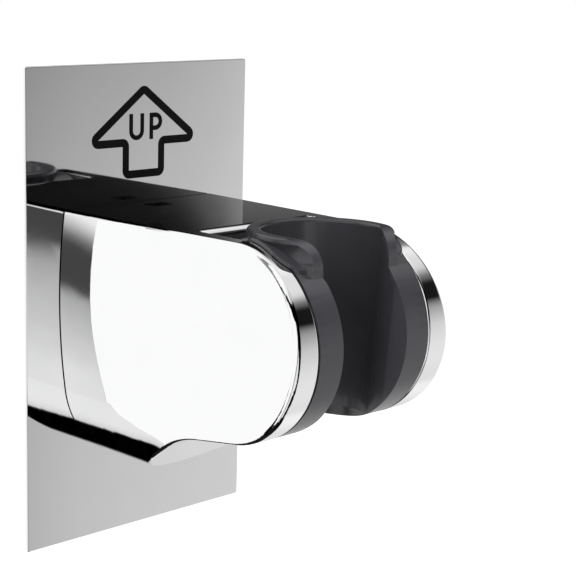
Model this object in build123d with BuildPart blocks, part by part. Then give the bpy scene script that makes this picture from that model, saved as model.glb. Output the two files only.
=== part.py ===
"""Hand shower holder: polished wall plate, chromed fork arm and a tilting cradle.

Millimetres.  +Z is up and the arm reaches out along -Y.  The origin is the middle of the
adhesive's back face, the face that sits on the wall.
"""
import os
from math import hypot, radians, sqrt, tan

from build123d import *

# Wall plate and adhesive
PLATE_W = 60.0
PLATE_H = 101.0
PLATE_T = 0.8
PLATE_CORNER = 0.6
PLATE_EDGE = 0.2
ADHESIVE_T = 0.5
ADHESIVE_INSET = 1.5
FRONT_Y = -(ADHESIVE_T + PLATE_T)

# Arm, outside
TOP_Z = 21.2
FORK_R = 19.1
AXIS_OUT = 49.3
AXIS_Y = FRONT_Y - AXIS_OUT
AXIS_Z = TOP_Z - FORK_R
SEAM = 0.25
WALL_HALF = 21.6
WALL_CROWN_Z = 3.0
FAR_HALF = 21.5
FAR_CROWN_Z = -11.0
CROWN_R = 136.0
BELLY_Z = -33.9
BELLY_TUCK = 1.8
UNDER_SLOPE = 9.0
KNEE_OUT = 36.0
RAMP_FOOT_OUT = 12.2
KNEE_R = 26.0
EDGE_R = 0.95
REACH = 90.0
TINY = 0.01

# Arm, inside
SKIN = 2.2
CHEEK_X = 15.2
DRUM_GAP = 0.45
WELL_OUT = 36.0
WELL_Y = FRONT_Y - WELL_OUT
RIM_EDGE = 0.5
REAR_EDGE = 1.6
THROAT = 15.0
WINDOW_X = 5.6
WINDOW_Y = 4.0
WINDOW_OUT = 5.4

# Cradle
DRUM_SHY = 0.05
DRUM_R = FORK_R - DRUM_SHY
SIDE_PLAY = 0.3
DRUM_HALF = CHEEK_X - SIDE_PLAY
BORE_OUT = 53.9
BORE_Y = FRONT_Y - BORE_OUT
BORE_TOP_R = 11.9
BORE_FOOT_R = 10.5
SLOT_HALF = 8.8
SLOT_EASE = 12.0
COLLAR_R = 14.7
COLLAR_PROUD = 1.4
COLLAR_Z = TOP_Z + COLLAR_PROUD
COLLAR_EDGE = 0.6
PRONG_OUT = 62.8
PRONG_Y = FRONT_Y - PRONG_OUT
PRONG_ROUND = 5.6
TILT_ROOM = 2.2
SKIRT_Y = WELL_Y - TILT_ROOM
EAR_X = 12.2
EAR_OUT = 57.5
EAR_Y = FRONT_Y - EAR_OUT
EAR_R = 4.4
HEEL_X = 11.9
HEEL_OUT = 50.5
HEEL_Y = FRONT_Y - HEEL_OUT
HEEL_R = 3.3
EAR_LIFT = 0.1
EAR_T = 0.5
EAR_EDGE = 0.35
BEAD_H = 0.9
HOLLOW_IN = 0.5
HOLLOW_DROP = 3.0
SWEEP_OUT = 1.6
SWEEP_DROP = 6.2
BELL = 0.5
BELL_H = 2.2
CORE_W = 10.5
CORE_L = 7.0
CORE_X = 6.2
CORE_BACK = 6.2
CORE_Y = BORE_Y + BORE_TOP_R + CORE_BACK

# Pivot, friction washers and tilt stops
PIVOT_R = 4.0
PIVOT_FIT = 0.06
PIVOT_TIP = 0.6
PIVOT_LENGTH = 3.2
PIVOT_END = DRUM_HALF + PIVOT_LENGTH
WASHER_T = 1.1
WASHER_R = 8.0
WASHER_PLAY = 0.1
LUG_R = 1.5
LUG_RING = 11.0
LUG_LENGTH = 1.4
LUG_PLAY = 0.3
TILT_BACK = 5.0
TILT_OUT = 35.0
STOP_PLAY = 2.0

# Carrier cup, studs, washers and nuts
CUP_FIT = 0.3
CUP_T = 2.2
CUP_OUT = 16.0
BASE_T = 4.0
STUD_R = 2.0
STUD_FIT = 0.25
STUD_TIP = 0.4
STUD_HIGH = (9.5, 9.0)
STUD_LOW = (8.0, -15.0)
LOCK_WASHER_R = 4.5
LOCK_WASHER_T = 0.8
NUT_AF = 7.0
NUT_T = 3.2
NUT_BEVEL = 60.0
STUD_PROUD = 1.2
TONGUE_SLIT = 0.9
TONGUE_OUT = 12.0
TONGUE_ROOM = 5.5
HOOK_PLAY = 0.3
HOOK_DROP = 0.7
TONGUE_HALF = WINDOW_X / 2 - HOOK_PLAY

STUD_SPOTS = [(side * x, z) for x, z in (STUD_HIGH, STUD_LOW) for side in (1, -1)]
LEFT_PLANE = Plane(origin=(0, AXIS_Y, AXIS_Z), x_dir=(0, 1, 0), z_dir=(-1, 0, 0))
AXIS_PLANE = Plane(origin=(0, AXIS_Y, AXIS_Z), x_dir=(0, 1, 0), z_dir=(1, 0, 0))


def arm_body(inset, wall_y):
    """The arm's outer form, or the form of its hollow when inset by a wall."""
    top_z = TOP_Z - inset
    belly_z = BELLY_Z + inset
    with BuildPart() as body:
        # Half sections: flat top, crowned side, round belly; the crown drops towards the fork
        for out, full_half, crown_z in ((0, WALL_HALF, WALL_CROWN_Z), (REACH, FAR_HALF, FAR_CROWN_Z)):
            half = full_half - inset
            corner_x = half - CROWN_R + sqrt(CROWN_R**2 - (top_z - crown_z) ** 2)
            foot_x = half - CROWN_R + sqrt(CROWN_R**2 - (belly_z - crown_z) ** 2)
            with BuildSketch(Plane.XZ.offset(out)) as section:
                with BuildLine():
                    Line((-REACH, top_z), (corner_x, top_z))
                    ThreePointArc((corner_x, top_z), (half, crown_z), (foot_x, belly_z))
                    Line((foot_x, belly_z), (-REACH, belly_z))
                    Line((-REACH, belly_z), (-REACH, top_z))
                make_face()
                fillet(section.vertices().sort_by_distance((foot_x, belly_z))[0], half - BELLY_TUCK)
        loft(ruled=True)
        mirror(about=Plane.YZ, mode=Mode.INTERSECT)
        # Side view: round nose, gently sloping underside and the ramp down to the belly
        with BuildSketch(Plane.YZ) as profile:
            with BuildLine():
                nose = CenterArc((AXIS_Y, AXIS_Z), FORK_R, 90, 180 - UNDER_SLOPE)
                run = FRONT_Y - KNEE_OUT - (nose @ 1).X
                knee = (FRONT_Y - KNEE_OUT, (nose @ 1).Y - run * tan(radians(UNDER_SLOPE)))
                foot = (FRONT_Y - RAMP_FOOT_OUT, BELLY_Z)
                Line(nose @ 1, knee)
                Line(knee, foot)
                Line(foot, (wall_y + inset, BELLY_Z))
                Line((wall_y + inset, BELLY_Z), (wall_y + inset, TOP_Z))
                Line((wall_y + inset, TOP_Z), nose @ 0)
            make_face()
            fillet(profile.vertices().sort_by_distance(knee)[0], KNEE_R)
            if inset:
                offset(amount=-inset, kind=Kind.INTERSECTION)
        extrude(amount=REACH, both=True, mode=Mode.INTERSECT)
    return body.part


os.makedirs("parts", exist_ok=True)

# Adhesive sheet between the plate and the wall
with BuildPart() as adhesive_sheet:
    with BuildSketch(Plane.XZ):
        RectangleRounded(PLATE_W - 2 * ADHESIVE_INSET, PLATE_H - 2 * ADHESIVE_INSET, 2 * PLATE_CORNER)
    extrude(amount=ADHESIVE_T)
adhesive_sheet.part.label = "adhesive_sheet"

# Polished steel plate
with BuildPart() as wall_plate:
    with BuildSketch(Plane.XZ.offset(ADHESIVE_T)):
        RectangleRounded(PLATE_W, PLATE_H, PLATE_CORNER)
    extrude(amount=PLATE_T)
    fillet(wall_plate.faces().sort_by(Axis.Y)[0].edges(), PLATE_EDGE)
wall_plate.part.label = "wall_plate"

# Threaded studs welded to the plate's front
with BuildPart() as plate_studs:
    with BuildSketch(Plane.XZ.offset(-FRONT_Y)):
        with Locations(*STUD_SPOTS):
            Circle(STUD_R)
    extrude(amount=BASE_T + LOCK_WASHER_T + NUT_T + STUD_PROUD)
    chamfer(plate_studs.faces().sort_by(Axis.Y)[: len(STUD_SPOTS)].edges(), STUD_TIP)
plate_studs.part.label = "plate_studs"

# Moulded carrier cup that the arm pushes on to, with a sprung latch tongue in its top wall
CUP_TOP = TOP_Z - SKIN - CUP_FIT
with BuildPart() as mounting_block:
    add(arm_body(SKIN + CUP_FIT, FRONT_Y))
    split(bisect_by=Plane.XZ.offset(-FRONT_Y + CUP_OUT), keep=Keep.BOTTOM)
    add(arm_body(SKIN + CUP_FIT + CUP_T, FRONT_Y - BASE_T), mode=Mode.SUBTRACT)
    with BuildSketch(Plane.XZ.offset(-FRONT_Y)):
        with Locations(*STUD_SPOTS):
            Circle(STUD_R + STUD_FIT)
    extrude(amount=BASE_T, mode=Mode.SUBTRACT)
    # Tongue freed at its wall end and sides, with room below it to spring down
    with BuildSketch(Plane.YZ):
        with Locations((FRONT_Y - TONGUE_OUT / 2, CUP_TOP - TONGUE_ROOM / 2)):
            Rectangle(TONGUE_OUT, TONGUE_ROOM)
    extrude(amount=TONGUE_HALF + TONGUE_SLIT, both=True, mode=Mode.SUBTRACT)
    with BuildSketch(Plane.YZ) as tongue:
        with BuildLine():
            hook_rear = FRONT_Y - WINDOW_OUT + WINDOW_Y / 2 - HOOK_PLAY
            hook_front = hook_rear - WINDOW_Y + 2 * HOOK_PLAY
            Polyline(
                (FRONT_Y - TONGUE_SLIT, CUP_TOP - CUP_T),
                (FRONT_Y - TONGUE_SLIT, CUP_TOP),
                (hook_rear, CUP_TOP),
                (hook_rear, TOP_Z - HOOK_DROP),
                ((hook_rear + hook_front) / 2, TOP_Z - HOOK_DROP),
                (hook_front, CUP_TOP + HOOK_DROP),
                (hook_front, CUP_TOP),
                (FRONT_Y - TONGUE_OUT, CUP_TOP),
                (FRONT_Y - TONGUE_OUT, CUP_TOP - CUP_T),
                close=True,
            )
        make_face()
    extrude(amount=TONGUE_HALF, both=True)
mounting_block.part.label = "mounting_block"

# Lock washers and nuts on the studs
with BuildPart() as block_washers:
    with BuildSketch(Plane.XZ.offset(-FRONT_Y + BASE_T)):
        with Locations(*STUD_SPOTS):
            Circle(LOCK_WASHER_R)
            Circle(STUD_R + STUD_FIT, mode=Mode.SUBTRACT)
    extrude(amount=LOCK_WASHER_T)
block_washers.part.label = "block_washers"

with BuildPart() as block_nuts:
    with BuildSketch(Plane.XZ.offset(-FRONT_Y + BASE_T + LOCK_WASHER_T)):
        with Locations(*STUD_SPOTS):
            RegularPolygon(NUT_AF / 2, 6, major_radius=False)
            Circle(STUD_R + STUD_FIT / 2, mode=Mode.SUBTRACT)
    extrude(amount=NUT_T)
    with BuildSketch(Plane.XZ.offset(-FRONT_Y + BASE_T + LOCK_WASHER_T + NUT_T)):
        with Locations(*STUD_SPOTS):
            Circle(NUT_AF / 2)
    extrude(amount=-NUT_T, taper=-NUT_BEVEL, mode=Mode.INTERSECT)
block_nuts.part.label = "block_nuts"

# Hollow chromed arm: fork cheeks, well behind the cradle, belly and latch window
with BuildPart() as arm_hollow:
    add(arm_body(SKIN, FRONT_Y))
    with BuildSketch(AXIS_PLANE):
        Circle(FORK_R + DRUM_GAP + SKIN)
    extrude(amount=REACH, both=True, mode=Mode.SUBTRACT)
    split(bisect_by=Plane.XZ.offset(-WELL_Y - SKIN), keep=Keep.BOTTOM)

with BuildPart() as arm_shell:
    add(arm_body(0, FRONT_Y - SEAM))
    outer = arm_shell.edges().filter_by(lambda e: abs(e.center().X) > CHEEK_X)
    free = outer.filter_by(lambda e: e.center().Y < FRONT_Y - SEAM - TINY)
    fillet(free.filter_by(lambda e: e.center().Z > AXIS_Z - FORK_R - EDGE_R), EDGE_R)
    add(arm_hollow.part, mode=Mode.SUBTRACT)
    # Room for the drum, open at the front, with a well above and a throat below
    with BuildSketch(AXIS_PLANE):
        Circle(FORK_R + DRUM_GAP)
        with Locations(((WELL_Y - AXIS_Y) / 2, FORK_R)):
            Rectangle(WELL_Y - AXIS_Y, 2 * FORK_R)
        with Locations((THROAT / 2, -FORK_R)):
            Rectangle(THROAT, 2 * FORK_R)
    extrude(amount=CHEEK_X, both=True, mode=Mode.SUBTRACT)
    # Latch window
    with BuildSketch(Plane.XY.offset(TOP_Z - 2 * SKIN)):
        with Locations((0, FRONT_Y - WINDOW_OUT)):
            Rectangle(WINDOW_X, WINDOW_Y)
    extrude(amount=4 * SKIN, mode=Mode.SUBTRACT)
    # Pivot sockets, washer recesses and stop grooves in the cheeks
    with BuildSketch(AXIS_PLANE):
        Circle(PIVOT_R + PIVOT_FIT)
    extrude(amount=PIVOT_END + SIDE_PLAY, both=True, mode=Mode.SUBTRACT)
    with BuildSketch(AXIS_PLANE):
        Circle(WASHER_R + WASHER_PLAY)
    extrude(amount=CHEEK_X + WASHER_T, both=True, mode=Mode.SUBTRACT)
    with BuildSketch(AXIS_PLANE):
        with BuildLine(mode=Mode.PRIVATE) as travel:
            CenterArc((0, 0), LUG_RING, -TILT_BACK - STOP_PLAY, TILT_BACK + TILT_OUT + 2 * STOP_PLAY)
        SlotArc(travel.edge(), 2 * (LUG_R + LUG_PLAY))
    extrude(amount=DRUM_HALF + LUG_LENGTH + SIDE_PLAY, both=True, mode=Mode.SUBTRACT)
    # Softened edges of the well and of the cheeks' inner rims
    at_rim = arm_shell.edges().filter_by(lambda e: abs(abs((e @ 0.5).X) - CHEEK_X) < TINY)
    noses = at_rim.filter_by(
        lambda e: abs(hypot((e @ 0.5).Y - AXIS_Y, (e @ 0.5).Z - AXIS_Z) - FORK_R) < TINY
    )
    sides = at_rim.filter_by(Axis.Y).filter_by(lambda e: abs((e @ 0.5).Z - TOP_Z) < TINY)
    rear = arm_shell.edges().filter_by(Axis.X).filter_by(
        lambda e: abs((e @ 0.5).Y - WELL_Y) + abs((e @ 0.5).Z - TOP_Z) < TINY
    )
    fillet(noses + sides + rear, RIM_EDGE)
    # Rounded rear edge of the well
    with BuildSketch(Plane.YZ):
        with Locations((WELL_Y + REAR_EDGE / 2, TOP_Z - REAR_EDGE / 2)):
            Rectangle(REAR_EDGE, REAR_EDGE)
        with Locations((WELL_Y + REAR_EDGE, TOP_Z - REAR_EDGE)):
            Circle(REAR_EDGE, mode=Mode.SUBTRACT)
    extrude(amount=CHEEK_X, both=True, mode=Mode.SUBTRACT)
arm_shell.part.label = "arm_shell"

# Friction washers that hold the cradle at its set angle
for side, name in ((-1, "left_friction_washer"), (1, "right_friction_washer")):
    with BuildPart() as friction_washer:
        with BuildSketch(AXIS_PLANE.offset(side * (CHEEK_X + WASHER_T))):
            Circle(WASHER_R)
            Circle(PIVOT_R + WASHER_PLAY, mode=Mode.SUBTRACT)
        extrude(amount=-side * (WASHER_T + SIDE_PLAY - WASHER_PLAY / 2))
    friction_washer.part.label = name
    export_step(friction_washer.part, f"parts/{name}.step")

# Room for the hand shower: conical socket, bell mouth below, and the slot that lets the hose in
with BuildPart() as socket:
    foot_z = AXIS_Z - FORK_R
    for z, radius in ((foot_z, BORE_FOOT_R + BELL), (foot_z + BELL_H, BORE_FOOT_R), (COLLAR_Z, BORE_TOP_R)):
        with BuildSketch(Plane.XY.offset(z)) as ring:
            with Locations((0, BORE_Y)):
                Circle(radius)
            with Locations((0, BORE_Y - REACH / 2)):
                Rectangle(2 * SLOT_HALF, REACH)
            fillet(ring.vertices().group_by(Axis.Y)[1], SLOT_EASE)
    loft(ruled=True)

# Ears that lap over the cheeks' rims
with BuildSketch(Plane.XY.offset(AXIS_Z)) as ear_plan:
    with Locations((EAR_X, EAR_Y)):
        Circle(EAR_R)
    with Locations((HEEL_X, HEEL_Y)):
        Circle(HEEL_R)
    make_hull()
    mirror(about=Plane.YZ)
    with Locations((0, BORE_Y)):
        Circle((BORE_TOP_R + COLLAR_R) / 2, mode=Mode.SUBTRACT)

with BuildPart() as ears:
    add(ear_plan.sketch)
    extrude(amount=2 * FORK_R)
    with BuildSketch(AXIS_PLANE):
        Circle(FORK_R + EAR_LIFT + EAR_T)
    extrude(amount=REACH, both=True, mode=Mode.INTERSECT)
    lips = ears.faces().filter_by(GeomType.CYLINDER).group_by(Axis.Z)[-1]
    fillet(lips.edges(), EAR_EDGE)
    with BuildSketch(AXIS_PLANE.offset(DRUM_HALF), LEFT_PLANE.offset(DRUM_HALF)):
        Circle(FORK_R + EAR_LIFT)
    extrude(amount=REACH, mode=Mode.SUBTRACT)

# Horseshoe collar, hollow under its bead so that it sweeps out to the ears
with BuildPart() as collar:
    with BuildSketch(Plane.YZ):
        with BuildLine():
            side_y = BORE_Y - COLLAR_R
            sweep = ThreePointArc(
                (side_y, COLLAR_Z - BEAD_H),
                (side_y + HOLLOW_IN, COLLAR_Z - HOLLOW_DROP),
                (side_y - SWEEP_OUT, COLLAR_Z - SWEEP_DROP),
            )
            skirt = ((sweep @ 1).X, AXIS_Z)
            Polyline(
                sweep @ 1,
                skirt,
                (BORE_Y, AXIS_Z),
                (BORE_Y, COLLAR_Z),
                (side_y, COLLAR_Z),
                sweep @ 0,
            )
        make_face()
    revolve(axis=Axis((0, BORE_Y, 0), (0, 0, 1)))
    with BuildSketch(Plane.XY.offset(AXIS_Z)):
        offset(ear_plan.sketch_local, amount=-EAR_EDGE)
        with Locations((0, BORE_Y)):
            Circle(COLLAR_R)
    extrude(amount=2 * FORK_R, mode=Mode.INTERSECT)
    split(bisect_by=Plane.XZ.offset(-PRONG_Y), keep=Keep.BOTTOM)
    add(socket.part, mode=Mode.SUBTRACT)
    bead = collar.faces().sort_by(Axis.Z)[-1].edges()
    fillet(bead.filter_by(lambda e: (e @ 0.5).Y > PRONG_Y + TINY), COLLAR_EDGE)
    with BuildSketch(Plane.YZ) as prong:
        with Locations(((PRONG_Y + SKIRT_Y) / 2, COLLAR_Z - REACH / 2)):
            Rectangle(SKIRT_Y - PRONG_Y, REACH)
        fillet(prong.vertices().sort_by_distance((PRONG_Y, COLLAR_Z))[0], PRONG_ROUND)
    extrude(amount=REACH, both=True, mode=Mode.INTERSECT)
    with BuildSketch(AXIS_PLANE.offset(DRUM_HALF), LEFT_PLANE.offset(DRUM_HALF)):
        Circle(FORK_R + EAR_LIFT)
    extrude(amount=REACH, mode=Mode.SUBTRACT)

# Cradle: drum, collar and ears in one moulding
with BuildPart() as cradle:
    with BuildSketch(AXIS_PLANE):
        Circle(DRUM_R)
    extrude(amount=DRUM_HALF, both=True)
    add(socket.part, mode=Mode.SUBTRACT)
    add(collar.part)
    add(ears.part)
    # Cores from below, either side of a rib
    with BuildSketch(Plane.XY.offset(AXIS_Z)):
        with Locations((CORE_X, CORE_Y), (-CORE_X, CORE_Y)):
            Rectangle(CORE_W, CORE_L)
    extrude(amount=-REACH, mode=Mode.SUBTRACT)
    # Trunnions and stop lugs
    with BuildSketch(AXIS_PLANE.offset(DRUM_HALF), LEFT_PLANE.offset(DRUM_HALF)):
        Circle(PIVOT_R)
    extrude(amount=PIVOT_END - DRUM_HALF)
    chamfer(cradle.faces().filter_by(Axis.X).group_by(Axis.X)[0].edges(), PIVOT_TIP)
    chamfer(cradle.faces().filter_by(Axis.X).group_by(Axis.X)[-1].edges(), PIVOT_TIP)
    with BuildSketch(AXIS_PLANE.offset(DRUM_HALF), LEFT_PLANE.offset(DRUM_HALF)):
        with Locations((LUG_RING, 0)):
            Circle(LUG_R)
    extrude(amount=LUG_LENGTH)
cradle.part.label = "cradle"

export_step(adhesive_sheet.part, "parts/adhesive_sheet.step")
export_step(wall_plate.part, "parts/wall_plate.step")
export_step(plate_studs.part, "parts/plate_studs.step")
export_step(mounting_block.part, "parts/mounting_block.step")
export_step(block_washers.part, "parts/block_washers.step")
export_step(block_nuts.part, "parts/block_nuts.step")
export_step(arm_shell.part, "parts/arm_shell.step")
export_step(cradle.part, "parts/cradle.step")
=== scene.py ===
"""Finishes, plate mark, stud threads and studio for the hand shower holder.

Metres, in the part's own frame: +Z is up and the arm reaches out along -Y from the wall.
"""

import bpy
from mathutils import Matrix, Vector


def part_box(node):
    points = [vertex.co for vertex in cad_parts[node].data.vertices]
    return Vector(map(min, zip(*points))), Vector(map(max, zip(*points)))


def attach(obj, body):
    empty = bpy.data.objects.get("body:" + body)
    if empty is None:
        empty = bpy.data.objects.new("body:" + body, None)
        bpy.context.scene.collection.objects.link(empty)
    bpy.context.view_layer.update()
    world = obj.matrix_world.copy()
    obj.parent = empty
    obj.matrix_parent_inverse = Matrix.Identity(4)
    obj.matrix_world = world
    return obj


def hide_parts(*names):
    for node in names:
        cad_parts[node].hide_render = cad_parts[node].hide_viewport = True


bl_info = {
    "name": "Hand Shower Holder",
    "version": (1, 0, 0),
    "blender": (4, 5, 0),
    "location": "View3D > Sidebar > Holder",
    "description": "Finishes, plate mark, stud threads and studio for a hand shower holder",
    "category": "Object",
}

from math import atan2, ceil, cos, pi, radians, sin, tau

import bmesh
import bpy
from bpy.props import FloatProperty, FloatVectorProperty, IntProperty, PointerProperty
from bpy.types import Operator, Panel, PropertyGroup
from mathutils import Matrix, Vector

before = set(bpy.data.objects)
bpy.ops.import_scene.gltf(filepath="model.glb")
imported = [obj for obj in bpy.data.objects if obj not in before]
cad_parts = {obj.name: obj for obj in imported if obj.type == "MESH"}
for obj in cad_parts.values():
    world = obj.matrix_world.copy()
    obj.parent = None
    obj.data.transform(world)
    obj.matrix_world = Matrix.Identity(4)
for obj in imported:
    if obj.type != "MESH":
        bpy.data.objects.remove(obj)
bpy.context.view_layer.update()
PLATE_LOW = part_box("wall_plate")[0]
ARM_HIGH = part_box("arm_shell")[1]
STUDS_LOW, STUDS_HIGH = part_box("plate_studs")

# Depth below the arm's top that holds its upper edge rounds
EDGE_DEPTH = 0.0014

# The letters' sides from the arrow's middle, the bowl's height over their feet, and how much
# tighter than a half circle their bends are
U_LEFT, U_RIGHT = -0.00348, -0.00045
P_STEM, P_BOWL = 0.00207, 0.00457
P_WAIST = 0.00236
BEND_TIGHTER = 0.00002

# Steepness of a thread's flanks over one pitch, and the offset that leaves its crest flat
FLANK_SLOPE = 2.4
CREST_OFFSET = 0.1

# Range in which most of a noise lies
NOISE_LOW, NOISE_HIGH = 0.3, 0.7

SENSOR_WIDTH = 36.0
NEAR_CLIP = 0.01
FLOOR_COLOUR = (0.85, 0.85, 0.85)
FLOOR_GLOW = 0.55
# Name, place, diameter and power of each lamp, and the point that they are turned to
LAMPS = (
    ("top_softbox", (-0.10, -0.35, 0.75), 0.6, 7.0),
    ("left_softbox", (-0.75, -0.25, 0.30), 0.5, 4.0),
)
LAMP_AIM = (0, -0.04, 0)
WHITE = (1, 1, 1, 1)
DEGREES = 180 / pi


def tint(name, description, default):
    """A colour that a user would change."""
    return FloatVectorProperty(
        name=name, description=description, subtype="COLOR", size=3, min=0, max=1, default=default
    )


def length(name, description, default):
    """A length in metres."""
    return FloatProperty(name=name, description=description, unit="LENGTH", precision=5, default=default)


class HolderFinishes(PropertyGroup):
    """Colours of the holder's finishes."""

    chrome: tint("Chrome", "Bright plating of the arm", (0.965, 0.967, 0.970))
    steel: tint("Steel", "Mirror-polished sheet of the wall plate", (0.955, 0.955, 0.955))
    slate: tint("Slate", "Moulded plastic of the cradle", (0.026, 0.0255, 0.029))
    ink: tint("Ink", "Printed mark on the plate", (0.003, 0.003, 0.003))
    foam: tint("Foam", "Adhesive sheet", (0.80, 0.80, 0.77))
    zinc: tint("Zinc", "Studs, washers and nuts", (0.66, 0.66, 0.63))
    # Black nylon, painted far darker than real nylon: painted shade, so the window into the arm looks like a
    # dark hollow
    nylon_and_painted_shade: tint("Nylon", "Carrier cup inside the arm", (0.002, 0.002, 0.0022))
    rubber: tint("Rubber", "Friction washers", (0.028, 0.027, 0.026))


class HolderMark(PropertyGroup):
    """Sizes of the printed arrow that shows which way up the plate goes."""

    middle: length("Middle", "Arrow's middle, across the plate", 0.00065)
    tip: length("Tip", "Height of the arrow's tip", 0.0450)
    shoulder: length("Shoulder", "Height of the head's lower edge", 0.0339)
    head_half: length("Head", "Half of the head's width", 0.0148)
    stem_half: length("Stem", "Half of the stem's width", 0.00487)
    foot: length("Foot", "Height of the stem's foot", 0.0271)
    stroke: length("Stroke", "Width of the arrow's line", 0.0017)
    letter_stroke: length("Letter stroke", "Width of the letters' lines", 0.0010)
    letter_foot: length("Letter foot", "Height of the letters' feet", 0.03427)
    letter_top: length("Letter top", "Height of the letters' tops", 0.03987)
    thickness: length("Thickness", "Thickness of the ink", 0.00003)


class HolderThread(PropertyGroup):
    """Thread of the studs."""

    diameter: length("Diameter", "Outer diameter of the thread", 0.004)
    pitch: length("Pitch", "Height of one turn", 0.0007)
    depth: length("Depth", "Depth of the groove", 0.00042)
    rings: IntProperty(name="Rings", description="Rings of points in one turn", default=6)
    spokes: IntProperty(name="Spokes", description="Points round the stud", default=24)


class HolderStage(PropertyGroup):
    """Camera and studio."""

    camera_place: FloatVectorProperty(
        name="Camera", description="Where the camera stands", subtype="TRANSLATION", precision=5,
        default=(-0.22499, -0.26930, 0.07461),
    )
    azimuth: FloatProperty(
        name="Azimuth", description="Camera's turn round the part", subtype="ANGLE", default=radians(-45.232)
    )
    elevation: FloatProperty(
        name="Elevation", description="Camera's height angle", subtype="ANGLE", default=radians(11.592)
    )
    roll: FloatProperty(name="Roll", description="Camera's roll", subtype="ANGLE", default=radians(1.521))
    lens: FloatProperty(name="Lens", description="Focal length in millimetres", default=103.29)
    floor_drop: length("Floor drop", "Depth of the floor below the plate", 0.25)
    floor_size: length("Floor size", "Side of the floor", 8.0)
    sky: FloatProperty(name="Sky", description="Soft light from all round", default=0.62)


def curve_map(tree, value, points):
    """Passes a value in degrees or parts through a smooth curve of (input, output) points."""
    low, high = points[0][0], points[-1][0]
    spread = tree.nodes.new("ShaderNodeMapRange")
    spread.inputs["From Min"].default_value = low
    spread.inputs["From Max"].default_value = high
    tree.links.new(value, spread.inputs["Value"])
    bend = tree.nodes.new("ShaderNodeFloatCurve")
    line = bend.mapping.curves[0].points
    while len(line) < len(points):
        line.new(0.5, 0.5)
    for knot, (x, y) in zip(line, points):
        knot.location = ((x - low) / (high - low), y)
        knot.handle_type = "AUTO_CLAMPED"
    bend.mapping.update()
    tree.links.new(spread.outputs["Result"], bend.inputs["Value"])
    return bend.outputs["Value"]


def calculate(tree, operation, first, second=None, third=None):
    """One Math node; inputs are sockets or numbers."""
    node = tree.nodes.new("ShaderNodeMath")
    node.operation = operation
    for socket, value in zip(node.inputs, (first, second, third)):
        if isinstance(value, (int, float)):
            socket.default_value = value
        elif value is not None:
            tree.links.new(value, socket)
    return node.outputs["Value"]


def new_finish(name, colour, metallic, roughness):
    """A material with one shader, and its parts for more nodes."""
    material = bpy.data.materials.new(name)
    material.use_nodes = True
    tree = material.node_tree
    shader = tree.nodes["Principled BSDF"]
    shader.inputs["Base Color"].default_value = (*colour, 1)
    shader.inputs["Metallic"].default_value = metallic
    shader.inputs["Roughness"].default_value = roughness
    return material, tree, shader


def grain(tree, scale, detail=3.0, stretch=(1, 1, 1)):
    """Noise fixed to the piece, with its scale in cells per metre."""
    place = tree.nodes.new("ShaderNodeTexCoord")
    squeeze = tree.nodes.new("ShaderNodeMapping")
    squeeze.inputs["Scale"].default_value = stretch
    noise = tree.nodes.new("ShaderNodeTexNoise")
    noise.inputs["Scale"].default_value = scale
    noise.inputs["Detail"].default_value = detail
    tree.links.new(place.outputs["Object"], squeeze.inputs["Vector"])
    tree.links.new(squeeze.outputs["Vector"], noise.inputs["Vector"])
    return noise.outputs["Fac"]


def vary_roughness(tree, shader, value, low, high):
    """Drives the shader's roughness between two values."""
    spread = tree.nodes.new("ShaderNodeMapRange")
    spread.inputs["From Min"].default_value = NOISE_LOW
    spread.inputs["From Max"].default_value = NOISE_HIGH
    spread.inputs["To Min"].default_value = low
    spread.inputs["To Max"].default_value = high
    tree.links.new(value, spread.inputs["Value"])
    tree.links.new(spread.outputs["Result"], shader.inputs["Roughness"])


def vary_colour(tree, shader, value, dark, light):
    """Drives the shader's colour between two tints."""
    ramp = tree.nodes.new("ShaderNodeValToRGB")
    ramp.color_ramp.elements[0].position = NOISE_LOW
    ramp.color_ramp.elements[1].position = NOISE_HIGH
    ramp.color_ramp.elements[0].color = (*dark, 1)
    ramp.color_ramp.elements[1].color = (*light, 1)
    tree.links.new(value, ramp.inputs["Fac"])
    tree.links.new(ramp.outputs["Color"], shader.inputs["Base Color"])
    return ramp


def raise_bump(tree, shader, value, distance, strength):
    """Fine relief on the surface."""
    bump = tree.nodes.new("ShaderNodeBump")
    bump.inputs["Distance"].default_value = distance
    bump.inputs["Strength"].default_value = strength
    tree.links.new(value, bump.inputs["Height"])
    tree.links.new(bump.outputs["Normal"], shader.inputs["Normal"])


def shade(colour, factor):
    """The colour, lighter or darker."""
    return tuple(min(1.0, c * factor) for c in colour)


def dress(node, material):
    """Gives a CAD node its finish."""
    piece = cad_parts[node]
    piece.data.materials.clear()
    piece.data.materials.append(material)


def polished_metal(name, colour, roughness):
    """Bright metal with faint wipe marks in its gloss."""
    material, tree, shader = new_finish(name, colour, metallic=1.0, roughness=roughness)
    cloud = grain(tree, scale=90.0, detail=4.0)
    vary_colour(tree, shader, cloud, dark=shade(colour, 0.985), light=shade(colour, 1.005))
    wipes = grain(tree, scale=700.0, detail=2.0, stretch=(0.15, 1, 1))
    vary_roughness(tree, shader, wipes, low=0.6 * roughness, high=1.4 * roughness)
    return material


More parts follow.
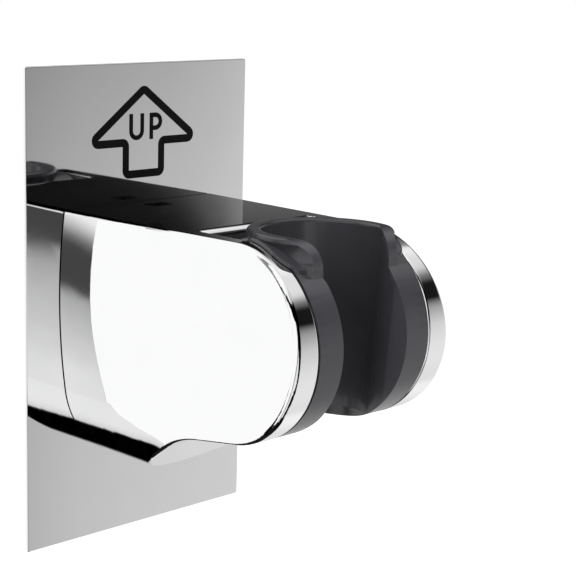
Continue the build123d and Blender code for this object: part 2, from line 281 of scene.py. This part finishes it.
def moulded_plastic(name, colour, low, high, texture, gloss=0.5):
    """Moulded plastic with spark-eroded texture, and a painted highlight that makes its edges lighter."""
    material, tree, shader = new_finish(name, colour, metallic=0.0, roughness=high)
    shader.inputs["Specular IOR Level"].default_value = gloss
    cloud = grain(tree, scale=160.0, detail=3.0)
    ramp = vary_colour(tree, shader, cloud, dark=shade(colour, 0.93), light=shade(colour, 1.07))
    # Painted highlight: sharp edges, found by their pointiness, are painted one and a half times as light as
    # the plastic
    geometry = tree.nodes.new("ShaderNodeNewGeometry")
    edge = curve_map(tree, geometry.outputs["Pointiness"], (
        (0.45, 0.0), (0.52, 0.0), (0.60, 1.0), (0.7, 1.0)))
    painted_highlight = tree.nodes.new("ShaderNodeMix")
    painted_highlight.data_type = "RGBA"
    painted_highlight.inputs["B"].default_value = (*shade(colour, 1.5), 1)
    tree.links.new(edge, painted_highlight.inputs["Factor"])
    tree.links.new(ramp.outputs["Color"], painted_highlight.inputs["A"])
    tree.links.new(painted_highlight.outputs["Result"], shader.inputs["Base Color"])
    vary_roughness(tree, shader, grain(tree, scale=900.0, detail=2.0), low, high)
    raise_bump(tree, shader, grain(tree, scale=6500.0, detail=2.0), distance=0.00004, strength=texture)
    return material


class HOLDER_OT_camera(Operator):
    """Stand the camera where the photograph was taken from"""

    bl_idname = "holder.camera"
    bl_label = "Camera"

    def execute(self, context):
        stage = context.scene.holder_stage
        a, e, r = stage.azimuth, stage.elevation, stage.roll
        right = Vector((cos(a), sin(a), 0))
        back = Vector((sin(a) * cos(e), -cos(a) * cos(e), sin(e)))
        up = back.cross(right)
        rolled_right = right * cos(r) + up * sin(r)
        rolled_up = up * cos(r) - right * sin(r)
        turned = Matrix((rolled_right, rolled_up, back)).transposed().to_4x4()
        turned.translation = stage.camera_place
        data = bpy.data.cameras.new("holder_camera")
        data.lens = stage.lens
        data.sensor_width = SENSOR_WIDTH
        data.clip_start = NEAR_CLIP
        camera = bpy.data.objects.new("holder_camera", data)
        camera.matrix_world = turned
        context.scene.collection.objects.link(camera)
        context.scene.camera = camera
        return {"FINISHED"}


def studio_surround(tree):
    """Brightness that bright metal sees in each direction, by angles in degrees round the part and
    over its horizon: a white room with a dark flag in front of the part, a dark band above the
    horizon on the right, a dark strip beside the camera, a dark floor, and a dark hood under the
    ceiling in front."""
    place = tree.nodes.new("ShaderNodeTexCoord")
    axes = tree.nodes.new("ShaderNodeSeparateXYZ")
    tree.links.new(place.outputs["Generated"], axes.inputs["Vector"])
    bearing = calculate(tree, "ARCTAN2", axes.outputs["Y"], axes.outputs["X"])
    around = calculate(tree, "MULTIPLY", bearing, DEGREES)
    height = calculate(tree, "MULTIPLY", calculate(tree, "ARCSINE", axes.outputs["Z"]), DEGREES)
    # Right-hand side: brightness falls towards the front flag
    side = curve_map(tree, around, (
        (-180, 0.0), (-62, 0.0), (-59.5, 0.03), (-57, 0.25), (-54.5, 0.47), (-50, 0.62), (-45, 0.67),
        (-40, 0.75), (-30, 0.80), (-12, 0.76), (5, 0.90), (20, 0.85), (35, 0.76), (60, 0.95), (90, 1.0),
        (142, 1.0), (147, 0.25), (154, 0.25), (160, 1.0), (180, 1.0)))
    # Dark band above the horizon, with its lower edge falling towards the front
    most_fall = 21.0
    fall = curve_map(tree, around, (
        (-70, 0.68), (-56, 0.50), (-50, 0.385), (-47, 0.215), (-44, 0.0), (18, 0.0), (32, 0.27),
        (60, 0.27)))
    lift = calculate(tree, "MULTIPLY_ADD", fall, most_fall, height)
    low_band = curve_map(tree, lift, (
        (-90, 0.98), (-24, 1.0), (-8, 0.92), (-1, 0.78), (5, 0.60), (9, 0.46), (12, 0.30), (15, 0.10),
        (17.5, 0.012), (90, 0.012)))
    # White ceiling, which comes further down behind the part
    most_hang, ceiling_lift = 21.0, 8.0
    hang = curve_map(tree, around, (
        (-180, 0.38), (-2, 0.38), (14, 0.0), (46, 0.0), (58, 1.0), (180, 1.0)))
    lowered = calculate(tree, "ADD", height, -ceiling_lift)
    ceiling = calculate(tree, "MULTIPLY_ADD", hang, most_hang, lowered)
    high_band = curve_map(tree, ceiling, (
        (-90, 0.0), (24, 0.0), (30, 0.13), (35, 0.55), (40, 0.95), (46, 1.0), (90, 1.0)))
    band = calculate(tree, "MAXIMUM", low_band, high_band)
    open_back = curve_map(tree, around, ((-180, 0.0), (52, 0.0), (80, 1.0), (180, 1.0)))
    band = calculate(tree, "MAXIMUM", band, open_back)
    right_half = calculate(tree, "MULTIPLY", side, band)
    # Camera's side: light up to the front flag, with a dark strip that slants down to the left
    most_lean, flag_turn = 100.0, 160.0
    lean = curve_map(tree, height, (
        (-90, 0.20), (-46, 0.48), (-42, 0.60), (-40, 0.66), (-38, 0.72), (-34, 0.78), (-25, 0.75),
        (0, 0.58), (15, 0.42), (90, 0.42)))
    turned = calculate(tree, "ADD", around, flag_turn)
    inside = calculate(tree, "MULTIPLY_ADD", lean, -most_lean, turned)
    left = curve_map(tree, inside, (
        (-200, 1.0), (-30, 1.0), (-12, 0.93), (-4, 0.78), (-1.6, 0.62), (1.4, 0.0), (260, 0.0)))
    strip_slope, strip_turn = 1.14, 131
    level = calculate(tree, "ADD", height, -strip_slope * strip_turn)
    slant = calculate(tree, "MULTIPLY_ADD", around, -strip_slope, level)
    strip = curve_map(tree, slant, (
        (-90, 0.86), (-46, 0.86), (-30, 0.79), (-25, 0.69), (-21, 0.61), (-17, 0.52), (-14, 0.43),
        (-12.4, 0.31), (-11.3, 0.15), (-10, 0.065), (-8, 0.058), (-5, 0.058), (-3.9, 0.062), (-3, 0.10),
        (-1.7, 0.20), (-0.3, 0.47), (1, 0.72), (3, 0.95), (5, 1.0), (90, 1.0)))
    left_half = calculate(tree, "MULTIPLY", left, strip)
    # Dark floor, which comes up behind the part and beside it
    most_shore, floor_depth = 60.0, 75.0
    shore = curve_map(tree, around, (
        (-180, 0.30), (-150, 0.15), (-60, 0.15), (0, 0.25), (30, 0.30), (45, 0.55), (95, 0.53),
        (101, 0.42), (128, 0.42), (143, 0.62), (147, 0.90), (156, 0.90), (160, 0.50), (180, 0.30)))
    raised = calculate(tree, "ADD", height, floor_depth)
    depth = calculate(tree, "MULTIPLY_ADD", shore, -most_shore, raised)
    floor = curve_map(tree, depth, ((-90, 0.01), (-1.5, 0.01), (1.5, 1.0), (180, 1.0)))
    # White ceiling over the front, and a dark hood under it that falls to a thin line on the left
    full_turn, most_crown, most_girth, hood_edge = 360.0, 50.0, 12.0, 2.0
    wheel = calculate(tree, "WRAP", around, full_turn, 0.0)
    dome = curve_map(tree, height, (
        (-90, 0.0), (46, 0.0), (50, 0.5), (54, 0.55), (58, 0.7), (64, 0.85), (72, 1.0), (90, 1.0)))
    front = curve_map(tree, wheel, (
        (0, 0.0), (225, 0.0), (236, 1.0), (300, 1.0), (312, 0.0), (360, 0.0)))
    room = calculate(tree, "ADD", right_half, left_half)
    room = calculate(tree, "MAXIMUM", room, calculate(tree, "MULTIPLY", dome, front))
    crown = curve_map(tree, wheel, (
        (0, 0.0), (138, 0.12), (142, 0.18), (150, 0.30), (163, 0.47), (178, 0.57), (187, 0.66), (197, 0.74),
        (210, 0.76), (242, 0.77), (360, 0.77)))
    girth = curve_map(tree, wheel, (
        (0, 0.0), (139, 0.0), (143, 0.37), (180, 0.47), (197, 0.76), (210, 0.87), (300, 0.87), (304, 0.0),
        (360, 0.0)))
    away = calculate(tree, "ABSOLUTE", calculate(tree, "MULTIPLY_ADD", crown, -most_crown, height))
    away = calculate(tree, "ADD", away, hood_edge)
    outside = calculate(tree, "MULTIPLY_ADD", girth, -most_girth, away)
    hood = curve_map(tree, outside, ((-15, 0.0), (-1, 0.0), (1, 1.0), (130, 1.0)))
    return calculate(tree, "MULTIPLY", floor, calculate(tree, "MULTIPLY", hood, room))


class HOLDER_OT_studio(Operator):
    """Build the floor, the lamps and the white room"""

    bl_idname = "holder.studio"
    bl_label = "Studio"

    def execute(self, context):
        stage = context.scene.holder_stage
        scene = context.scene
        scene.view_settings.view_transform = "Standard"
        world = bpy.data.worlds.new("white_room")
        scene.world = world
        world.use_nodes = True
        tree = world.node_tree
        tree.nodes.clear()
        path = tree.nodes.new("ShaderNodeLightPath")
        soft = tree.nodes.new("ShaderNodeBackground")
        soft.inputs["Strength"].default_value = stage.sky
        seen = tree.nodes.new("ShaderNodeBackground")
        tree.links.new(studio_surround(tree), seen.inputs["Color"])
        plain = tree.nodes.new("ShaderNodeBackground")
        gloss_mix = tree.nodes.new("ShaderNodeMixShader")
        eye_mix = tree.nodes.new("ShaderNodeMixShader")
        out = tree.nodes.new("ShaderNodeOutputWorld")
        shiny = calculate(tree, "MAXIMUM", path.outputs["Is Glossy Ray"], path.outputs["Is Transmission Ray"])
        tree.links.new(shiny, gloss_mix.inputs["Fac"])
        tree.links.new(soft.outputs["Background"], gloss_mix.inputs[1])
        tree.links.new(seen.outputs["Background"], gloss_mix.inputs[2])
        tree.links.new(path.outputs["Is Camera Ray"], eye_mix.inputs["Fac"])
        tree.links.new(gloss_mix.outputs["Shader"], eye_mix.inputs[1])
        tree.links.new(plain.outputs["Background"], eye_mix.inputs[2])
        tree.links.new(eye_mix.outputs["Shader"], out.inputs["Surface"])
        plain.inputs["Color"].default_value = WHITE
        soft.inputs["Color"].default_value = WHITE

        self.floor(context, stage)
        for name, place, size, power in LAMPS:
            self.lamp(context, name, place, size, power)
        return {"FINISHED"}

    def floor(self, context, stage):
        """Pale floor, far below the plate; bright metal sees the room and not the floor."""
        half = stage.floor_size / 2
        height = PLATE_LOW.z - stage.floor_drop
        corners = [(-half, -half, height), (half, -half, height), (half, half, height), (-half, half, height)]
        mesh = bpy.data.meshes.new("studio_floor")
        mesh.from_pydata(corners, [], [(0, 1, 2, 3)])
        floor = bpy.data.objects.new("studio_floor", mesh)
        context.scene.collection.objects.link(floor)
        material, tree, shader = new_finish("pale_floor", FLOOR_COLOUR, metallic=0.0, roughness=0.9)
        vary_roughness(tree, shader, grain(tree, scale=4.0), low=0.85, high=0.95)
        path = tree.nodes.new("ShaderNodeLightPath")
        shader.inputs["Emission Color"].default_value = WHITE
        glow = calculate(tree, "MULTIPLY", path.outputs["Is Camera Ray"], FLOOR_GLOW)
        tree.links.new(glow, shader.inputs["Emission Strength"])
        floor.data.materials.append(material)
        floor.visible_glossy = False

    def lamp(self, context, name, place, size, power):
        """A large soft lamp, turned to the part; bright metal sees the room and not the lamp."""
        data = bpy.data.lights.new(name, "AREA")
        data.shape = "DISK"
        data.size = size
        data.energy = power
        lamp = bpy.data.objects.new(name, data)
        lamp.location = place
        lamp.rotation_euler = (Vector(LAMP_AIM) - Vector(place)).to_track_quat("-Z", "Y").to_euler()
        lamp.visible_glossy = False
        context.scene.collection.objects.link(lamp)


class HOLDER_OT_arm(Operator):
    """Plate the arm with bright chrome"""

    bl_idname = "holder.arm"
    bl_label = "Chromed arm"

    def execute(self, context):
        chrome = context.scene.holder_finishes.chrome
        dress("arm_shell", polished_metal("bright_chrome", chrome, roughness=0.03))
        # Sliver facets turn the normals of the upper edge rounds, so a copy stands in for the arm
        # whose facets count by their area there
        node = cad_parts["arm_shell"]
        data = node.data.copy()
        data.name = "chromed_arm"
        arm = bpy.data.objects.new("chromed_arm", data)
        arm.matrix_world = node.matrix_world.copy()
        context.scene.collection.objects.link(arm)
        edges = arm.vertex_groups.new(name="upper_edges")
        lowest = ARM_HIGH.z - EDGE_DEPTH
        edges.add([point.index for point in data.vertices if point.co.z > lowest], 1.0, "ADD")
        even = arm.modifiers.new("even_gloss", "WEIGHTED_NORMAL")
        even.mode = "FACE_AREA"
        even.keep_sharp = True
        even.vertex_group = edges.name
        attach(arm, "bracket")
        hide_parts("arm_shell")
        return {"FINISHED"}


class HOLDER_OT_plate(Operator):
    """Polish the wall plate"""

    bl_idname = "holder.plate"
    bl_label = "Wall plate"

    def execute(self, context):
        steel = context.scene.holder_finishes.steel
        dress("wall_plate", polished_metal("polished_sheet", steel, roughness=0.03))
        return {"FINISHED"}


def rounded_path(corners, radius, closed, steps=6):
    """Points along a path with rounded corners in the plate's plane, each with the direction to its
    side."""
    path = []
    count = len(corners)
    for index, corner in enumerate(corners):
        here = Vector(corner)
        before = Vector(corners[index - 1])
        after = Vector(corners[(index + 1) % count])
        if not closed and index in (0, count - 1):
            along = (after - here) if index == 0 else (here - before)
            along.normalize()
            path.append((here, Vector((along.y, -along.x))))
            continue
        into = (here - before).normalized()
        leaving = (after - here).normalized()
        turn = atan2(into.x * leaving.y - into.y * leaving.x, into.dot(leaving))
        reach = radius * abs(sin(turn / 2) / cos(turn / 2))
        sign = 1 if turn > 0 else -1
        start = here - into * reach
        centre = start + Vector((-into.y, into.x)) * radius * sign
        first = Vector((into.y, -into.x))
        for step in range(steps + 1):
            angle = turn * step / steps
            side = Vector((
                first.x * cos(angle) - first.y * sin(angle), first.x * sin(angle) + first.y * cos(angle)))
            path.append((centre + side * radius * sign, side))
    return path


def printed_line(mesh, path, stroke, closed, face, thickness):
    """A flat ribbon of ink along a path."""
    rows = []
    for point, side in path:
        row = []
        for reach in (-stroke / 2, stroke / 2):
            spot = point + side * reach
            under = mesh.verts.new((spot.x, face, spot.y))
            over = mesh.verts.new((spot.x, face - thickness, spot.y))
            row.append((under, over))
        rows.append(row)
    last = len(rows) if closed else len(rows) - 1
    for index in range(last):
        (a0, a1), (b0, b1) = rows[index]
        (c0, c1), (d0, d1) = rows[(index + 1) % len(rows)]
        for corner in ((a1, b1, d1, c1), (a0, c0, d0, b0), (a0, a1, c1, c0), (b0, d0, d1, b1)):
            mesh.faces.new(corner)
    if not closed:
        for (a0, a1), (b0, b1) in (rows[0], rows[-1]):
            mesh.faces.new((a0, b0, b1, a1))


class HOLDER_OT_mark(Operator):
    """Print the arrow that shows which way up the plate goes"""

    bl_idname = "holder.mark"
    bl_label = "Plate mark"

    def execute(self, context):
        mark = context.scene.holder_mark
        middle = mark.middle
        arrow = [
            (middle, mark.tip),
            (middle + mark.head_half, mark.shoulder),
            (middle + mark.stem_half, mark.shoulder),
            (middle + mark.stem_half, mark.foot),
            (middle - mark.stem_half, mark.foot),
            (middle - mark.stem_half, mark.shoulder),
            (middle - mark.head_half, mark.shoulder),
        ]
        pen = mark.letter_stroke / 2
        low, high = mark.letter_foot, mark.letter_top
        left, right = middle + U_LEFT, middle + U_RIGHT
        letter_u = [(left, high), (left, low + pen), (right, low + pen), (right, high)]
        stem, bowl, waist = middle + P_STEM, middle + P_BOWL, low + P_WAIST
        letter_p = [(stem + pen, high - pen), (bowl, high - pen), (bowl, waist), (stem + pen, waist)]
        strokes = (
            (letter_u, (right - left) / 2 - BEND_TIGHTER),
            ([(stem, low), (stem, high)], 0),
            (letter_p, (high - pen - waist) / 2 - BEND_TIGHTER),
        )
        mesh = bmesh.new()
        face = PLATE_LOW.y
        outline = rounded_path(arrow, mark.stroke / 2, True)
        printed_line(mesh, outline, mark.stroke, True, face, mark.thickness)
        for corners, radius in strokes:
            path = rounded_path(corners, radius, False)
            printed_line(mesh, path, mark.letter_stroke, False, face, mark.thickness)
        bmesh.ops.recalc_face_normals(mesh, faces=mesh.faces)
        data = bpy.data.meshes.new("up_mark")
        mesh.to_mesh(data)
        mesh.free()
        piece = bpy.data.objects.new("up_mark", data)
        context.scene.collection.objects.link(piece)
        ink = context.scene.holder_finishes.ink
        material, tree, shader = new_finish("printed_ink", ink, metallic=0.0, roughness=0.35)
        shader.inputs["Specular IOR Level"].default_value = 0.08
        speckle = grain(tree, scale=2500.0, detail=2.0)
        vary_colour(tree, shader, speckle, dark=shade(ink, 0.7), light=shade(ink, 1.6))
        vary_roughness(tree, shader, grain(tree, scale=900.0), low=0.28, high=0.45)
        data.materials.append(material)
        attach(piece, "bracket")
        return {"FINISHED"}


class HOLDER_OT_cradle(Operator):
    """Give the cradle its slate plastic"""

    bl_idname = "holder.cradle"
    bl_label = "Tilting cradle"

    def execute(self, context):
        slate = context.scene.holder_finishes.slate
        dress("cradle", moulded_plastic("slate_plastic", slate, low=0.17, high=0.25, texture=0.06))
        return {"FINISHED"}


class HOLDER_OT_carrier(Operator):
    """Finish the carrier cup, the friction washers and the adhesive sheet"""

    bl_idname = "holder.carrier"
    bl_label = "Carrier, washers and adhesive"

    def execute(self, context):
        finishes = context.scene.holder_finishes
        # Carrier cup: black nylon whose near-black colour is also painted shade for the window into the arm
        nylon_and_painted_shade = moulded_plastic("black_nylon", finishes.nylon_and_painted_shade, low=0.45, high=0.6, texture=0.2, gloss=0.0)
        dress("mounting_block", nylon_and_painted_shade)
        rubber = moulded_plastic("washer_rubber", finishes.rubber, low=0.7, high=0.85, texture=0.35)
        dress("left_friction_washer", rubber)
        dress("right_friction_washer", rubber)
        colour = finishes.foam
        foam, tree, shader = new_finish("foam_tape", colour, metallic=0.0, roughness=0.9)
        cloud = grain(tree, scale=500.0)
        vary_colour(tree, shader, cloud, dark=shade(colour, 0.9), light=shade(colour, 1.05))
        vary_roughness(tree, shader, grain(tree, scale=1200.0), low=0.82, high=0.96)
        cells = tree.nodes.new("ShaderNodeTexVoronoi")
        cells.inputs["Scale"].default_value = 3500.0
        place = tree.nodes.new("ShaderNodeTexCoord")
        tree.links.new(place.outputs["Object"], cells.inputs["Vector"])
        raise_bump(tree, shader, cells.outputs["Distance"], distance=0.0001, strength=0.4)
        dress("adhesive_sheet", foam)
        return {"FINISHED"}


def threaded_stud(mesh, middle, thread, start, end):
    """One stud along -Y with a rolled thread: rings of points that rise and fall with the helix."""
    steps = ceil((start - end) / thread.pitch * thread.rings)
    crest = thread.diameter / 2
    rings = []
    for step in range(steps + 1):
        y = start + (end - start) * step / steps
        ring = []
        for spoke in range(thread.spokes):
            turn = spoke / thread.spokes
            phase = ((start - y) / thread.pitch - turn) % 1.0
            depth = thread.depth * min(1.0, max(0.0, FLANK_SLOPE * abs(phase - 0.5) - CREST_OFFSET))
            # The free end is chamfered down to the groove
            reach = min(crest - depth, crest - thread.depth + (y - end))
            x = middle.x + reach * cos(tau * turn)
            z = middle.y + reach * sin(tau * turn)
            ring.append(mesh.verts.new((x, y, z)))
        rings.append(ring)
    for low, high in zip(rings, rings[1:]):
        for spoke in range(thread.spokes):
            after = (spoke + 1) % thread.spokes
            mesh.faces.new((low[spoke], low[after], high[after], high[spoke]))
    mesh.faces.new(rings[0])
    mesh.faces.new(rings[-1])


def stud_middles():
    """Middles of the CAD's studs in the plate's plane, one in each quarter."""
    points = [vertex.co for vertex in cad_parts["plate_studs"].data.vertices]
    middles = []
    for across in (-1, 1):
        for up in (-1, 1):
            quarter = [point for point in points if point.x * across > 0 and point.z * up > 0]
            xs = [point.x for point in quarter]
            zs = [point.z for point in quarter]
            middles.append(Vector(((min(xs) + max(xs)) / 2, (min(zs) + max(zs)) / 2)))
    return middles


class HOLDER_OT_fixings(Operator):
    """Cut the threads of the studs and finish the studs, washers and nuts"""

    bl_idname = "holder.fixings"
    bl_label = "Studs, washers and nuts"

    def execute(self, context):
        zinc = context.scene.holder_finishes.zinc
        material, tree, shader = new_finish("bright_zinc", zinc, metallic=1.0, roughness=0.3)
        vary_colour(tree, shader, grain(tree, scale=400.0), dark=shade(zinc, 0.88), light=shade(zinc, 1.08))
        turning = grain(tree, scale=1200.0, detail=2.0, stretch=(1, 8, 1))
        vary_roughness(tree, shader, turning, low=0.22, high=0.38)
        raise_bump(tree, shader, turning, distance=0.00003, strength=0.2)
        for node in ("plate_studs", "block_washers", "block_nuts"):
            dress(node, material)
        mesh = bmesh.new()
        for middle in stud_middles():
            threaded_stud(mesh, middle, context.scene.holder_thread, STUDS_HIGH.y, STUDS_LOW.y)
        bmesh.ops.recalc_face_normals(mesh, faces=mesh.faces)
        data = bpy.data.meshes.new("threaded_studs")
        mesh.to_mesh(data)
        mesh.free()
        studs = bpy.data.objects.new("threaded_studs", data)
        context.scene.collection.objects.link(studs)
        data.materials.append(material)
        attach(studs, "bracket")
        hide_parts("plate_studs")
        return {"FINISHED"}


class HOLDER_PT_panel(Panel):
    """Sidebar panel with the holder's operators and values"""

    bl_label = "Hand Shower Holder"
    bl_idname = "HOLDER_PT_panel"
    bl_space_type = "VIEW_3D"
    bl_region_type = "UI"
    bl_category = "Holder"

    def draw(self, context):
        layout = self.layout
        for operator in OPERATORS:
            layout.operator(operator.bl_idname)
        for name in GROUPS:
            group = getattr(context.scene, name)
            box = layout.box()
            for value in group.__annotations__:
                box.prop(group, value)


GROUPS = {
    "holder_finishes": HolderFinishes, "holder_mark": HolderMark, "holder_thread": HolderThread,
    "holder_stage": HolderStage,
}
OPERATORS = (
    HOLDER_OT_camera, HOLDER_OT_studio, HOLDER_OT_arm, HOLDER_OT_plate, HOLDER_OT_mark, HOLDER_OT_cradle,
    HOLDER_OT_carrier, HOLDER_OT_fixings,
)


def register():
    """Adds the classes and the scene's properties."""
    for cls in (*GROUPS.values(), *OPERATORS, HOLDER_PT_panel):
        bpy.utils.register_class(cls)
    for name, group in GROUPS.items():
        setattr(bpy.types.Scene, name, PointerProperty(type=group))


def unregister():
    """Takes them away again."""
    for name in GROUPS:
        delattr(bpy.types.Scene, name)
    for cls in reversed((*GROUPS.values(), *OPERATORS, HOLDER_PT_panel)):
        bpy.utils.unregister_class(cls)


def main():
    """Makes every piece in order."""
    register()
    bpy.ops.holder.camera()
    bpy.ops.holder.studio()
    bpy.ops.holder.arm()
    bpy.ops.holder.plate()
    bpy.ops.holder.mark()
    bpy.ops.holder.cradle()
    bpy.ops.holder.carrier()
    bpy.ops.holder.fixings()


if __name__ == "__main__":
    main()
